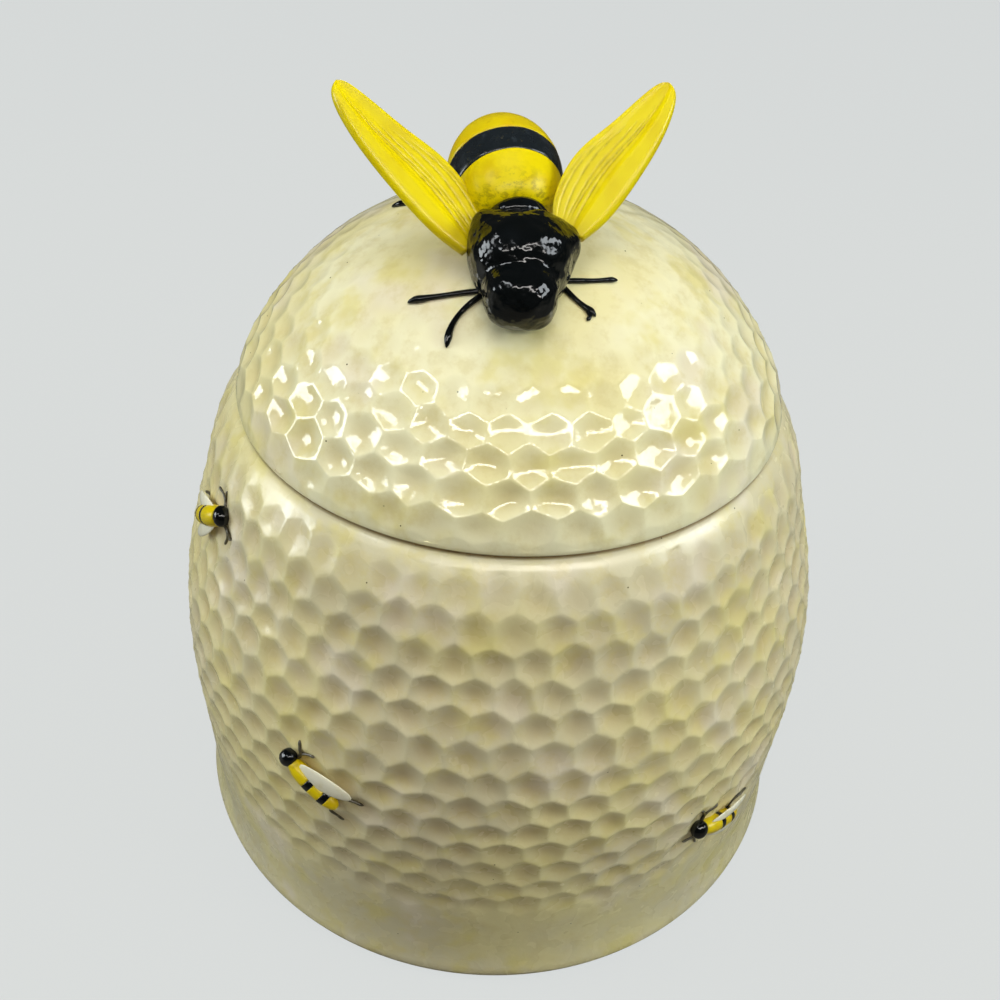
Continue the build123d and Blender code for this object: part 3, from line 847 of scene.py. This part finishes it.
verts, faces, way = blob(FRONT_MIDDLE, FRONT_AXIS)
verts -= way * sum(depth * (1 + ripple(verts, size)) for depth, size in DENTS)[:, None]
verts = sink(verts)
in_head = lobe(verts, *HEAD_LOBE) < HEAD_EDGE
head_faces = [f for f in faces if in_head[list(f)].mean() > 0.5]
chest_faces = [f for f in faces if in_head[list(f)].mean() <= 0.5]
add_piece("bee_chest", verts, chest_faces, BLACK, "lid", ["knob_bee_chest"])
add_piece("bee_head", verts, head_faces, BLACK, "lid", ["knob_bee_head"])


# Knob bee: wings, thick at the leading edge, with a sunk vane that carries lengthwise grooves. Sizes in
# mm, and places across the wing as shares of its width, from the leading edge
VEINS = (0.47, 0.56, 0.65, 0.74, 0.83, 0.92)
VEIN_HALF = 0.020
WING_THICK = 1.8
NOSE = 0.14
NOSE_ROUND = 0.16
FOLD = 0.34
FOLD_WIDTH = 0.10
FOLD_DROP = 0.75
FOLD_SHADE = 0.35
TIP_ROUND = 0.86
CUP = 0.7
GROOVE_FACE = 0.4
GROOVE_BACK = 0.22
WING_SINK = 0.6


def wing_grooves(f, u):
    """How deep the grooves are across a wing, from 0 to 1, at a share u of its length."""
    line = np.zeros_like(f)
    for k, vein in enumerate(VEINS):
        where = vein + 0.03 * math.sin(4 * u + 1.7 * k) + 0.12 * (1 - u) ** 2 * (vein - 0.7)
        reach = np.clip((0.95 - 0.09 * k - u) * 6, 0, 1) * np.clip(u * 12 - 0.4, 0, 1)
        groove = np.exp(-(((f - where) / VEIN_HALF) ** 2))
        line = np.maximum(line, (0.85 + 0.15 * math.sin(5 * u + k)) * groove * reach)
    return line


def wing_mesh(root, tip, chord, flip):
    """One wing as points, faces, the darkening of its grooves and the painted shade along its fold, and how
    much root there is at each point.
    """
    root, tip = np.array(root), np.array(tip)
    length = np.linalg.norm(tip - root)
    way = (tip - root) / length
    chord = np.array(chord) - way * np.dot(chord, way)
    chord /= np.linalg.norm(chord)
    normal = np.cross(way, chord) * flip
    lead = smooth_curve(WING_LEADING)
    trail = smooth_curve(WING_TRAILING)
    stations = 1 - (1 - np.linspace(0, 0.985, 96)) ** 1.8
    round_nose = NOSE * (1 - np.cos(np.linspace(0, math.pi / 2, 12)))
    f = np.concatenate((round_nose, np.linspace(NOSE, 1, 60)[1:]))
    loops, groove, base = [], [], []
    for u in stations:
        a = np.interp(u, lead[:, 0], lead[:, 1])
        b = np.interp(u, trail[:, 0], trail[:, 1])
        wide = max((b - a) * WING_WIDTH, 0.05)
        front = np.sqrt(np.clip(1 - (1 - np.clip(f / NOSE_ROUND, 0, 1)) ** 2, 0, 1))
        fold = np.clip((f - FOLD) / FOLD_WIDTH, 0, 1)
        fold = fold * fold * (3 - 2 * fold)
        thick = WING_THICK - 0.15 * np.clip((f - 0.1) / 0.3, 0, 1) - FOLD_DROP * fold
        thick -= 0.3 * np.clip((f - 0.5) / 0.5, 0, 1)
        edge = np.sqrt(np.clip((1 - f) * 12, 0, 1))
        end = math.sqrt(max(0.0, 1 - (max(u - TIP_ROUND, 0) / (1 - TIP_ROUND)) ** 2))
        half = front * thick * edge * max(end, 0.05)
        line = wing_grooves(f, u)
        cup = CUP * np.sin(math.pi * np.clip((f - 0.3) / 0.7, 0, 1)) * end
        middle = root + way * (u * length)
        across_at = chord[None] * (a * WING_WIDTH + wide * f)[:, None]
        depth = line * np.minimum(1, half)
        face = middle + across_at + normal[None] * (half - GROOVE_FACE * depth - cup)[:, None]
        back = middle + across_at - normal[None] * (half + cup - GROOVE_BACK * depth)[:, None]
        loops.append(np.concatenate((face, back[-2:0:-1])))
        # A dark line along the fold, where the vane steps down, is painted shade
        shade = np.maximum(line, FOLD_SHADE * np.exp(-(((f - 0.42) / 0.03) ** 2)))
        groove.append(np.concatenate((shade, 0.6 * line[-2:0:-1])))
        base.append(np.full(len(loops[-1]), max(0.0, 1 - u * 6)))
    points, faces = loft(loops)
    at_ends = np.zeros(2)
    return points, faces, np.concatenate(groove + [at_ends]), np.concatenate(base + [at_ends])


for name, (root, tip, chord, flip) in WINGS.items():
    verts, faces, groove, base = wing_mesh(root, tip, chord, flip)
    verts = sink(verts, WING_SINK)
    marks = {"groove": groove, "root": base}
    add_piece("bee_" + name, verts, faces, WING, "lid", ["knob_bee_" + name], marks)


def tube(points, radii, ups, spokes=12):
    """Rounded bar through points, with its own radius at each."""
    points = np.asarray(points, float)
    way = np.gradient(points, axis=0)
    way /= np.linalg.norm(way, axis=1)[:, None]
    side = np.cross(way, ups)
    side /= np.linalg.norm(side, axis=1)[:, None]
    top = np.cross(side, way)
    turn = np.arange(spokes) * 2 * math.pi / spokes
    loops = []
    for k in range(len(points)):
        circle = np.cos(turn)[:, None] * side[k] + np.sin(turn)[:, None] * top[k]
        loops.append(points[k] + radii[k] * circle)
    return loft(loops)


def merge(parts):
    """Several meshes as one."""
    verts, faces, total = [], [], 0
    for points, some in parts:
        verts.append(points)
        faces += [tuple(i + total for i in f) for f in some]
        total += len(points)
    return np.concatenate(verts), faces


def leg_radii(count, thin, foot):
    """Thickness along a leg: even, with a rounded thicker foot and a closed end."""
    t = np.linspace(0, 1, count)
    radius = thin * (1.0 + 0.12 * np.sin(7 * t)) + (foot - thin) * np.clip((t - 0.35) / 0.5, 0, 1) ** 2
    return radius * np.sqrt(np.clip((1.0 - t) * 9, 0.0025, 1))


# Knob bee: legs laid over the dome
for name, (plan, foot) in KNOB_LEGS.items():
    line = smooth_curve(plan, count=LEG_POINTS)
    radii = leg_radii(LEG_POINTS, LEG_RADIUS * LEG_SHARE, foot * FOOT_SHARE)
    height = dome(line[:, 0], line[:, 1]) + radii * 0.5
    parts = [tube(np.column_stack((line, height)), radii, UPWARD)]
    if name == FORK_LEG:
        bends = [line[-8] + np.array(bend) for bend in FORK_BENDS]
        fork = smooth_curve([line[-14], *bends], count=FORK_POINTS)
        sizes = leg_radii(FORK_POINTS, FORK_RADIUS, FORK_RADIUS)
        height = dome(fork[:, 0], fork[:, 1]) + sizes * 0.45
        parts.append(tube(np.column_stack((fork, height)), sizes, UPWARD))
    verts, faces = merge(parts)
    add_piece("bee_" + name, verts, faces, BLACK, "lid", ["knob_bee_" + name])


# Small bees on the wall
def turned(outline, start, end, spokes=32, rings=14, swell=0.0):
    """Part of a turned body along x, from start to end, in the bee's own frame."""
    x = np.linspace(start, end, rings)
    t = np.linspace(0, 1, rings)
    radius = np.maximum(np.interp(x, outline[:, 0], outline[:, 1]), THINNEST) + swell * np.sin(math.pi * t)
    turn = np.arange(spokes) * 2 * math.pi / spokes
    loops = []
    for a, r in zip(x, radius):
        loops.append(np.column_stack((np.full(spokes, a), r * np.cos(turn), r * np.sin(turn) + SMALL_LIFT)))
    return loft(loops)


def small_wing(sign, single, rings=30, spokes=28):
    """A raised oval wing lying back over the body, in the bee's own frame; a single one is plumper."""
    line = smooth_curve(SINGLE_WING if single else SMALL_WING, count=rings)
    half = SINGLE_WING_HALF if single else SMALL_WING_HALF
    t = np.linspace(0, 1, rings)
    wide = half * np.sqrt(np.clip(1 - (2 * t**0.8 - 1) ** 2, 0.001, 1)) + 0.15
    way = np.gradient(line, axis=0)
    way /= np.linalg.norm(way, axis=1)[:, None]
    side = np.stack((-way[:, 1], way[:, 0]), axis=1)
    turn = np.arange(spokes) * 2 * math.pi / spokes
    loops = []
    for k in range(rings):
        ridge = 0.55 * math.sqrt(max(0.02, 1 - (2 * t[k] - 1) ** 2))
        flat = line[k] + wide[k] * np.cos(turn)[:, None] * side[k]
        height = 1.55 + 0.5 * math.sin(math.pi * t[k]) + ridge * np.sin(turn) - 0.10 * np.abs(np.cos(turn))
        loops.append(np.column_stack((flat[:, 0], sign * flat[:, 1], height)))
    return loft(loops)


body_line = smooth_curve(SMALL_BODY[::-1], (0.0, 1.0), (1.0, -0.4), 80)
head_line = smooth_curve(SMALL_HEAD, count=40)
for name, (azimuth, height, heading, shown_sides) in SMALL_BEES.items():
    turn0 = math.radians(azimuth)
    s0 = float(np.interp(height, jar.path[:, 1], jar.length))
    radius0 = float(np.interp(s0, jar.length, jar.path[:, 0]))
    psi = math.radians(heading)

    def on_wall(points, hug=0.0):
        """Lays points of the bee's own frame, x ahead, y to its left and z off the wall, on the jar.

        With hug at 1 they follow the honeycomb's hollows, with 0 they keep to the plain wall.
        """
        ahead = points[:, 0] * math.cos(psi) - points[:, 1] * math.sin(psi)
        up = points[:, 0] * math.sin(psi) + points[:, 1] * math.cos(psi)
        turn = turn0 + ahead / radius0
        s = s0 + up
        return jar.place(s, turn, points[:, 2] - hug * jar.dent(s, turn))

    single = len(shown_sides) == 1
    glazed = {
        "yellow_bands": ([turned(body_line, a, b) for a, b in SMALL_YELLOW], YELLOW, "yellow_glaze"),
        "black_bands": ([turned(body_line, a, b, swell=0.05) for a, b in SMALL_BLACK], BLACK, "black_glaze"),
        "wings": ([small_wing(side, single) for side in shown_sides], WHITE, "white_glaze"),
    }
    for part, (pieces, material, slot) in glazed.items():
        verts, faces = merge(pieces)
        if name == "left_bee" and part != "wings":
            verts[:, 1:] *= LEFT_BEE_GIRTH
        add_piece(f"{name}_{part}_glazed", on_wall(verts), faces, material, "jar", [f"{name}_{part}"])
    verts, faces = turned(head_line, SMALL_HEAD[0][0], SMALL_HEAD[-1][0], rings=18)
    verts[:, 1] *= SMALL_HEAD_BREADTH
    add_piece(f"{name}_head_glazed", on_wall(verts), faces, BLACK, "jar", [f"{name}_head"])
    parts = []
    plans = [(SMALL_HIND_LEG, 1), (SMALL_HIND_LEG, -1)]
    plans += [(feeler, side) for feeler in SMALL_FEELERS for side in shown_sides]
    for plan, side in plans:
        line = smooth_curve(plan, count=SMALL_LEG_POINTS)
        line[:, 1] *= side
        sizes = leg_radii(SMALL_LEG_POINTS, SMALL_LEG_RADIUS, SMALL_FOOT_RADIUS)
        wall_line = on_wall(np.column_stack((line, sizes * 0.2)), hug=1.0)
        outward = np.column_stack((wall_line[:, 0], wall_line[:, 1], np.zeros(SMALL_LEG_POINTS)))
        outward /= np.linalg.norm(outward, axis=1)[:, None]
        parts.append(tube(wall_line, sizes, outward, 8))
    verts, faces = merge(parts)
    add_piece(f"{name}_legs_glazed", verts, faces, LINE, "jar", [f"{name}_legs"])


# Floor, world and lamps, in metres. To the camera the floor is mostly an even glow and the room a pale
# wall, and to all other rays a plain floor and a dim light
FLOOR_HALF = 12.0
FLOOR_GLOW = 0.74
ROOM_LIGHT = 0.06
corners = [(x * FLOOR_HALF, y * FLOOR_HALF, 0) for x, y in ((-1, -1), (1, -1), (1, 1), (-1, 1))]
floor_mesh = bpy.data.meshes.new("floor")
floor_mesh.from_pydata(corners, [], [(0, 1, 2, 3)])
floor = bpy.data.objects.new("floor", floor_mesh)
bpy.context.scene.collection.objects.link(floor)
paper = Glaze("pale_floor", linear(124, 118, 106), 0.5, 0.2)
paper.layer(paper.span(paper.noise(1.7, 1.0), 0.4, 0.7, 0.0, 0.6), linear(114, 110, 100))
floor_material = paper.done()
glow = paper.tree.nodes.new("ShaderNodeEmission")
glow.inputs["Color"].default_value = linear(240, 244, 244)
seen = paper.tree.nodes.new("ShaderNodeLightPath")
blend = paper.tree.nodes.new("ShaderNodeMixShader")
paper.tree.links.new(paper.math("MULTIPLY", seen.outputs["Is Camera Ray"], FLOOR_GLOW), blend.inputs[0])
paper.tree.links.new(paper.shader.outputs["BSDF"], blend.inputs[1])
paper.tree.links.new(glow.outputs["Emission"], blend.inputs[2])
paper.tree.links.new(blend.outputs["Shader"], paper.tree.nodes["Material Output"].inputs["Surface"])
floor_mesh.materials.append(floor_material)

world = bpy.data.worlds.new("room")
bpy.context.scene.world = world
world.use_nodes = True
dim = world.node_tree.nodes["Background"]
dim.inputs["Color"].default_value = (1.0, 0.95, 0.86, 1.0)
dim.inputs["Strength"].default_value = ROOM_LIGHT
pale = world.node_tree.nodes.new("ShaderNodeBackground")
pale.inputs["Color"].default_value = linear(216, 219, 218)
sight = world.node_tree.nodes.new("ShaderNodeLightPath")
choice = world.node_tree.nodes.new("ShaderNodeMixShader")
world.node_tree.links.new(sight.outputs["Is Camera Ray"], choice.inputs[0])
world.node_tree.links.new(dim.outputs["Background"], choice.inputs[1])
world.node_tree.links.new(pale.outputs["Background"], choice.inputs[2])
world.node_tree.links.new(choice.outputs["Shader"], world.node_tree.nodes["World Output"].inputs["Surface"])

TARGET = Vector((0.0, 0.0, 0.12))


def lamp(name, place, width, height, power, colour):
    """An oblong lamp that faces the jar and that the camera doesn't see; its power is in watts."""
    light = bpy.data.lights.new(name, "AREA")
    light.shape = "RECTANGLE"
    light.size, light.size_y = width, height
    light.energy = power
    light.color = colour
    lamp_object = bpy.data.objects.new(name, light)
    lamp_object.location = place
    lamp_object.rotation_euler = (TARGET - Vector(place)).to_track_quat("-Z", "Y").to_euler()
    lamp_object.visible_camera = False
    bpy.context.scene.collection.objects.link(lamp_object)
    return lamp_object


# The first five light the surfaces, and the glints show only as highlights in the glaze
lamp("ceiling", (0.0, 0.2, 1.7), 1.8, 1.4, 10.0, (1.0, 0.98, 0.93)).visible_glossy = False
lamp("near_fill", (0.0, -0.13, 0.58), 0.30, 0.30, 0.63, (1.0, 0.99, 0.95)).visible_glossy = False
lamp("left_window", (-1.094, -0.077, 0.608), 0.56, 0.70, 9.2, (0.85, 0.955, 1.0)).visible_glossy = False
lamp("right_window", (0.988, -0.283, 0.738), 0.72, 0.46, 9.4, (0.85, 0.955, 1.0)).visible_glossy = False
lamp("front_window", (0.10, -0.800, 0.870), 1.20, 0.10, 1.95, (1.0, 0.93, 0.80)).visible_glossy = False
lamp("left_glint", (-1.082, -0.102, 0.380), 0.42, 0.42, 6.0, (0.90, 0.97, 1.0)).visible_diffuse = False
lamp("left_pane_glint", (-0.632, -0.437, 0.955), 0.36, 0.17, 2.3, (0.93, 0.98, 1.0)).visible_diffuse = False
lamp("right_glint", (0.988, -0.253, 0.730), 0.52, 0.40, 6.8, (0.90, 0.97, 1.0)).visible_diffuse = False
lamp("front_glint", (0.167, -0.773, 0.882), 1.25, 0.11, 7.2, (1.0, 0.97, 0.92)).visible_diffuse = False

bpy.context.scene.view_settings.view_transform = "Standard"
